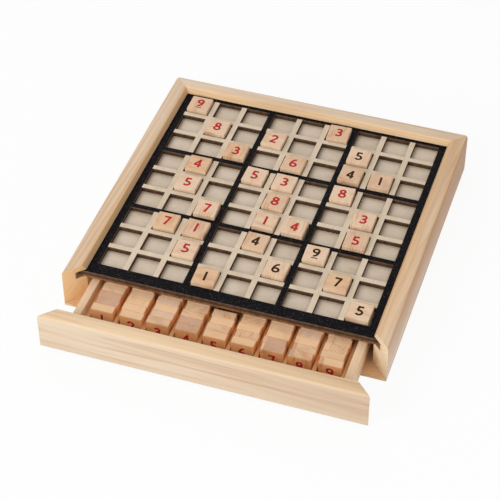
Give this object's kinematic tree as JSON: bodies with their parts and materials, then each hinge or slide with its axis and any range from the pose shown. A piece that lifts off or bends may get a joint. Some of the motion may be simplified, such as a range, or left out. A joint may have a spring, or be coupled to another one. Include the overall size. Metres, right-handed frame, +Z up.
{
  "type": "sudoku board",
  "caption": "Wooden sudoku board: a mitred pine frame round a recessed grid of square cells, with loose numbered wooden tiles and a drawer in the front rail that stores spare tiles on edge.",
  "frame": {"origin": "on the underside of the base panel, at the middle of the case without the open drawer", "axes": "+Z up out of the playing face, +X to the player's right, -Y towards the player, the way the drawer opens"},
  "size_m": [0.288, 0.342, 0.0385],
  "materials": {
    "pine": "pale sanded pine under a thin matt varnish",
    "base_board": "thin plain plywood",
    "drawer_wood": "sanded pine, unvarnished",
    "cell_floor": "greyish beige plywood with fine grain",
    "printed_grid": "laser-cut plywood, bars greyish beige, border and block lines printed matt black",
    "tile_wood": "sanded light hardwood with printed red or black numbers"
  },
  "bodies": {
    "case": {"left_rail": "pine", "right_rail": "pine", "back_rail": "pine", "base_panel": "base_board", "floor_plate": "cell_floor", "grid_plate": "printed_grid"},
    "drawer": {"drawer_front": "pine", "drawer_left_side": "drawer_wood", "drawer_right_side": "drawer_wood", "drawer_back": "drawer_wood", "drawer_bottom": "base_board", "channel_dividers": "drawer_wood", "edge_strips": "drawer_wood", "tile_stack_1": "tile_wood", "tile_stack_2": "tile_wood", "tile_stack_3": "tile_wood", "tile_stack_4": "tile_wood", "tile_stack_5": "tile_wood", "tile_stack_6": "tile_wood", "tile_stack_7": "tile_wood", "tile_stack_8": "tile_wood", "tile_stack_9": "tile_wood"},
    "front_tile_1": {"front_tile_1": "tile_wood"},
    "front_tile_2": {"front_tile_2": "tile_wood"},
    "front_tile_3": {"front_tile_3": "tile_wood"},
    "front_tile_4": {"front_tile_4": "tile_wood"},
    "front_tile_5": {"front_tile_5": "tile_wood"},
    "front_tile_6": {"front_tile_6": "tile_wood"},
    "front_tile_7": {"front_tile_7": "tile_wood"},
    "front_tile_8": {"front_tile_8": "tile_wood"},
    "front_tile_9": {"front_tile_9": "tile_wood"},
    "tile_row1_col1": {"tile_row1_col1": "tile_wood"},
    "tile_row1_col6": {"tile_row1_col6": "tile_wood"},
    "tile_row2_col2": {"tile_row2_col2": "tile_wood"},
    "tile_row2_col4": {"tile_row2_col4": "tile_wood"},
    "tile_row2_col7": {"tile_row2_col7": "tile_wood"},
    "tile_row3_col3": {"tile_row3_col3": "tile_wood"},
    "tile_row3_col5": {"tile_row3_col5": "tile_wood"},
    "tile_row3_col7": {"tile_row3_col7": "tile_wood"},
    "tile_row3_col8": {"tile_row3_col8": "tile_wood"},
    "tile_row4_col2": {"tile_row4_col2": "tile_wood"},
    "tile_row4_col4": {"tile_row4_col4": "tile_wood"},
    "tile_row4_col5": {"tile_row4_col5": "tile_wood"},
    "tile_row4_col7": {"tile_row4_col7": "tile_wood"},
    "tile_row5_col2": {"tile_row5_col2": "tile_wood"},
    "tile_row5_col5": {"tile_row5_col5": "tile_wood"},
    "tile_row5_col8": {"tile_row5_col8": "tile_wood"},
    "tile_row6_col3": {"tile_row6_col3": "tile_wood"},
    "tile_row6_col5": {"tile_row6_col5": "tile_wood"},
    "tile_row6_col6": {"tile_row6_col6": "tile_wood"},
    "tile_row6_col8": {"tile_row6_col8": "tile_wood"},
    "tile_row7_col2": {"tile_row7_col2": "tile_wood"},
    "tile_row7_col3": {"tile_row7_col3": "tile_wood"},
    "tile_row7_col5": {"tile_row7_col5": "tile_wood"},
    "tile_row7_col7": {"tile_row7_col7": "tile_wood"},
    "tile_row8_col3": {"tile_row8_col3": "tile_wood"},
    "tile_row8_col6": {"tile_row8_col6": "tile_wood"},
    "tile_row8_col8": {"tile_row8_col8": "tile_wood"},
    "tile_row9_col4": {"tile_row9_col4": "tile_wood"},
    "tile_row9_col9": {"tile_row9_col9": "tile_wood"}
  },
  "joints": [
    {"name": "drawer_slide", "type": "slide", "parent": "case", "child": "drawer", "axis": [0, -1, 0], "range_m": [-0.054, 0.046]},
    {"name": "lift_front_1", "type": "slide", "parent": "drawer", "child": "front_tile_1", "axis": [0, 0, 1], "range_m": [0, 0.03]},
    {"name": "lift_front_2", "type": "slide", "parent": "drawer", "child": "front_tile_2", "axis": [0, 0, 1], "range_m": [0, 0.03]},
    {"name": "lift_front_3", "type": "slide", "parent": "drawer", "child": "front_tile_3", "axis": [0, 0, 1], "range_m": [0, 0.03]},
    {"name": "lift_front_4", "type": "slide", "parent": "drawer", "child": "front_tile_4", "axis": [0, 0, 1], "range_m": [0, 0.03]},
    {"name": "lift_front_5", "type": "slide", "parent": "drawer", "child": "front_tile_5", "axis": [0, 0, 1], "range_m": [0, 0.03]},
    {"name": "lift_front_6", "type": "slide", "parent": "drawer", "child": "front_tile_6", "axis": [0, 0, 1], "range_m": [0, 0.03]},
    {"name": "lift_front_7", "type": "slide", "parent": "drawer", "child": "front_tile_7", "axis": [0, 0, 1], "range_m": [0, 0.03]},
    {"name": "lift_front_8", "type": "slide", "parent": "drawer", "child": "front_tile_8", "axis": [0, 0, 1], "range_m": [0, 0.03]},
    {"name": "lift_front_9", "type": "slide", "parent": "drawer", "child": "front_tile_9", "axis": [0, 0, 1], "range_m": [0, 0.03]},
    {"name": "lift_row1_col1", "type": "slide", "parent": "case", "child": "tile_row1_col1", "axis": [0, 0, 1], "range_m": [0, 0.03]},
    {"name": "lift_row1_col6", "type": "slide", "parent": "case", "child": "tile_row1_col6", "axis": [0, 0, 1], "range_m": [0, 0.03]},
    {"name": "lift_row2_col2", "type": "slide", "parent": "case", "child": "tile_row2_col2", "axis": [0, 0, 1], "range_m": [0, 0.03]},
    {"name": "lift_row2_col4", "type": "slide", "parent": "case", "child": "tile_row2_col4", "axis": [0, 0, 1], "range_m": [0, 0.03]},
    {"name": "lift_row2_col7", "type": "slide", "parent": "case", "child": "tile_row2_col7", "axis": [0, 0, 1], "range_m": [0, 0.03]},
    {"name": "lift_row3_col3", "type": "slide", "parent": "case", "child": "tile_row3_col3", "axis": [0, 0, 1], "range_m": [0, 0.03]},
    {"name": "lift_row3_col5", "type": "slide", "parent": "case", "child": "tile_row3_col5", "axis": [0, 0, 1], "range_m": [0, 0.03]},
    {"name": "lift_row3_col7", "type": "slide", "parent": "case", "child": "tile_row3_col7", "axis": [0, 0, 1], "range_m": [0, 0.03]},
    {"name": "lift_row3_col8", "type": "slide", "parent": "case", "child": "tile_row3_col8", "axis": [0, 0, 1], "range_m": [0, 0.03]},
    {"name": "lift_row4_col2", "type": "slide", "parent": "case", "child": "tile_row4_col2", "axis": [0, 0, 1], "range_m": [0, 0.03]},
    {"name": "lift_row4_col4", "type": "slide", "parent": "case", "child": "tile_row4_col4", "axis": [0, 0, 1], "range_m": [0, 0.03]},
    {"name": "lift_row4_col5", "type": "slide", "parent": "case", "child": "tile_row4_col5", "axis": [0, 0, 1], "range_m": [0, 0.03]},
    {"name": "lift_row4_col7", "type": "slide", "parent": "case", "child": "tile_row4_col7", "axis": [0, 0, 1], "range_m": [0, 0.03]},
    {"name": "lift_row5_col2", "type": "slide", "parent": "case", "child": "tile_row5_col2", "axis": [0, 0, 1], "range_m": [0, 0.03]},
    {"name": "lift_row5_col5", "type": "slide", "parent": "case", "child": "tile_row5_col5", "axis": [0, 0, 1], "range_m": [0, 0.03]},
    {"name": "lift_row5_col8", "type": "slide", "parent": "case", "child": "tile_row5_col8", "axis": [0, 0, 1], "range_m": [0, 0.03]},
    {"name": "lift_row6_col3", "type": "slide", "parent": "case", "child": "tile_row6_col3", "axis": [0, 0, 1], "range_m": [0, 0.03]},
    {"name": "lift_row6_col5", "type": "slide", "parent": "case", "child": "tile_row6_col5", "axis": [0, 0, 1], "range_m": [0, 0.03]},
    {"name": "lift_row6_col6", "type": "slide", "parent": "case", "child": "tile_row6_col6", "axis": [0, 0, 1], "range_m": [0, 0.03]},
    {"name": "lift_row6_col8", "type": "slide", "parent": "case", "child": "tile_row6_col8", "axis": [0, 0, 1], "range_m": [0, 0.03]},
    {"name": "lift_row7_col2", "type": "slide", "parent": "case", "child": "tile_row7_col2", "axis": [0, 0, 1], "range_m": [0, 0.03]},
    {"name": "lift_row7_col3", "type": "slide", "parent": "case", "child": "tile_row7_col3", "axis": [0, 0, 1], "range_m": [0, 0.03]},
    {"name": "lift_row7_col5", "type": "slide", "parent": "case", "child": "tile_row7_col5", "axis": [0, 0, 1], "range_m": [0, 0.03]},
    {"name": "lift_row7_col7", "type": "slide", "parent": "case", "child": "tile_row7_col7", "axis": [0, 0, 1], "range_m": [0, 0.03]},
    {"name": "lift_row8_col3", "type": "slide", "parent": "case", "child": "tile_row8_col3", "axis": [0, 0, 1], "range_m": [0, 0.03]},
    {"name": "lift_row8_col6", "type": "slide", "parent": "case", "child": "tile_row8_col6", "axis": [0, 0, 1], "range_m": [0, 0.03]},
    {"name": "lift_row8_col8", "type": "slide", "parent": "case", "child": "tile_row8_col8", "axis": [0, 0, 1], "range_m": [0, 0.03]},
    {"name": "lift_row9_col4", "type": "slide", "parent": "case", "child": "tile_row9_col4", "axis": [0, 0, 1], "range_m": [0, 0.03]},
    {"name": "lift_row9_col9", "type": "slide", "parent": "case", "child": "tile_row9_col9", "axis": [0, 0, 1], "range_m": [0, 0.03]}
  ]
}
